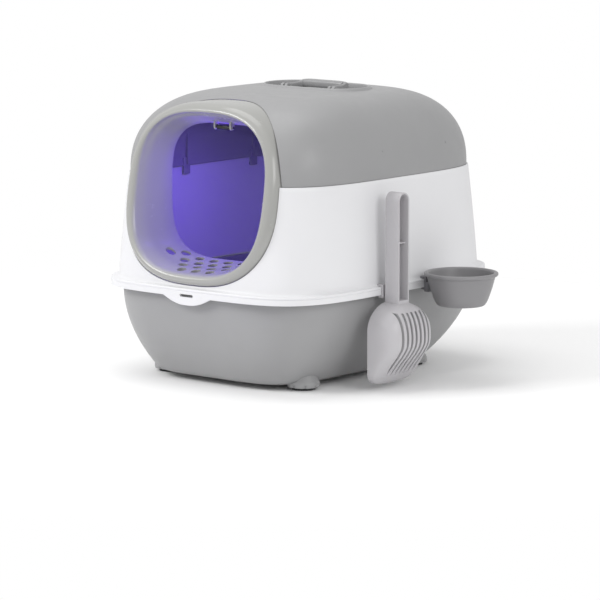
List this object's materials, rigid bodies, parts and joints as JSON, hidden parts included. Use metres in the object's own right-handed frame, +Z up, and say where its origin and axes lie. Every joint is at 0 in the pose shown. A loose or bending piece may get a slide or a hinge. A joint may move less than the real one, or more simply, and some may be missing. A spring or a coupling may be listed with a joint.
{
  "type": "cat_litter_box_hooded",
  "caption": "Large hooded cat litter box in grey and white plastic with a ring entrance, clear swing flap, roof handle, battery lamp, and a scoop and a bowl hung on its right side.",
  "frame": {"origin": "On the floor under the middle of the box's own outline; the scoop and bowl overhang on +X, so it is not the middle of the overall bounding box", "axes": "+X is the box's right side seen from the front and carries the scoop and bowl, -Y is the entrance side, +Z is up"},
  "size_m": [0.507, 0.5, 0.4115],
  "materials": {
    "grey_pp": "satin injection-moulded polypropylene",
    "white_pp": "satin injection-moulded polypropylene",
    "ring_gloss": "glossier moulded polypropylene",
    "scoop_pp": "satin moulded polypropylene",
    "bowl_pp": "satin moulded polypropylene",
    "clear_flap": "clear moulded polycarbonate",
    "dark_clip": "fine-textured moulded plastic",
    "rubber_pad": "soft moulded rubber",
    "lamp_white": "satin moulded ABS",
    "lamp_diffuser": "translucent diffusing acrylic",
    "board_green": "solder-masked circuit board",
    "led_dome": "clear epoxy dome",
    "cell_wrap": "shrink-wrapped dry cell",
    "steel": "drawn and nickel-plated steel"
  },
  "bodies": {
    "base": {"pan": "grey_pp", "rubber_feet": "rubber_pad"},
    "shell": {"mid_shell": "white_pp", "entrance_ring": "ring_gloss", "flap_ears": "ring_gloss", "flap_pin": "steel", "scoop_hook": "dark_clip", "bowl_clip": "dark_clip"},
    "hood": {"lid": "grey_pp", "lid_clips": "grey_pp", "handle_pins": "steel", "lamp_case": "lamp_white", "lamp_lens": "lamp_diffuser", "lamp_board": "board_green", "lamp_leds": "led_dome", "lamp_switch": "dark_clip", "lamp_cells": "cell_wrap", "lamp_contacts": "steel", "lamp_screws": "steel"},
    "handle": {"carry_handle": "bowl_pp"},
    "flap": {"flap_door": "clear_flap"},
    "scoop": {"scoop": "scoop_pp"},
    "bowl": {"bowl": "bowl_pp"},
    "button": {"lamp_button": "scoop_pp"},
    "battery_door": {"lamp_door": "lamp_white"}
  },
  "joints": [
    {"name": "hood_lift", "type": "slide", "parent": "base", "child": "shell", "axis": [0, 0, 1], "range_m": [0, 0.2]},
    {"name": "lid_lift", "type": "slide", "parent": "shell", "child": "hood", "axis": [0, 0, 1], "range_m": [0, 0.16]},
    {"name": "handle_fold", "type": "hinge", "parent": "hood", "child": "handle", "pos_m": [0, 0.02, 0.4025], "axis": [1, 0, 0], "range_deg": [0, 95]},
    {"name": "flap_swing", "type": "hinge", "parent": "shell", "child": "flap", "pos_m": [0, -0.168, 0.361], "axis": [1, 0, 0], "range_deg": [-60, 75]},
    {"name": "scoop_unhook", "type": "slide", "parent": "shell", "child": "scoop", "axis": [0.7071, 0, 0.7071], "range_m": [0, 0.12]},
    {"name": "bowl_lift", "type": "slide", "parent": "shell", "child": "bowl", "axis": [0, 0, 1], "range_m": [0, 0.12]},
    {"name": "button_press", "type": "slide", "parent": "hood", "child": "button", "axis": [0, 0, 1], "range_m": [0, 0.001], "stiffness_N_per_m": 300},
    {"name": "door_slide", "type": "slide", "parent": "hood", "child": "battery_door", "axis": [0, 1, 0], "range_m": [0, 0.045]}
  ]
}
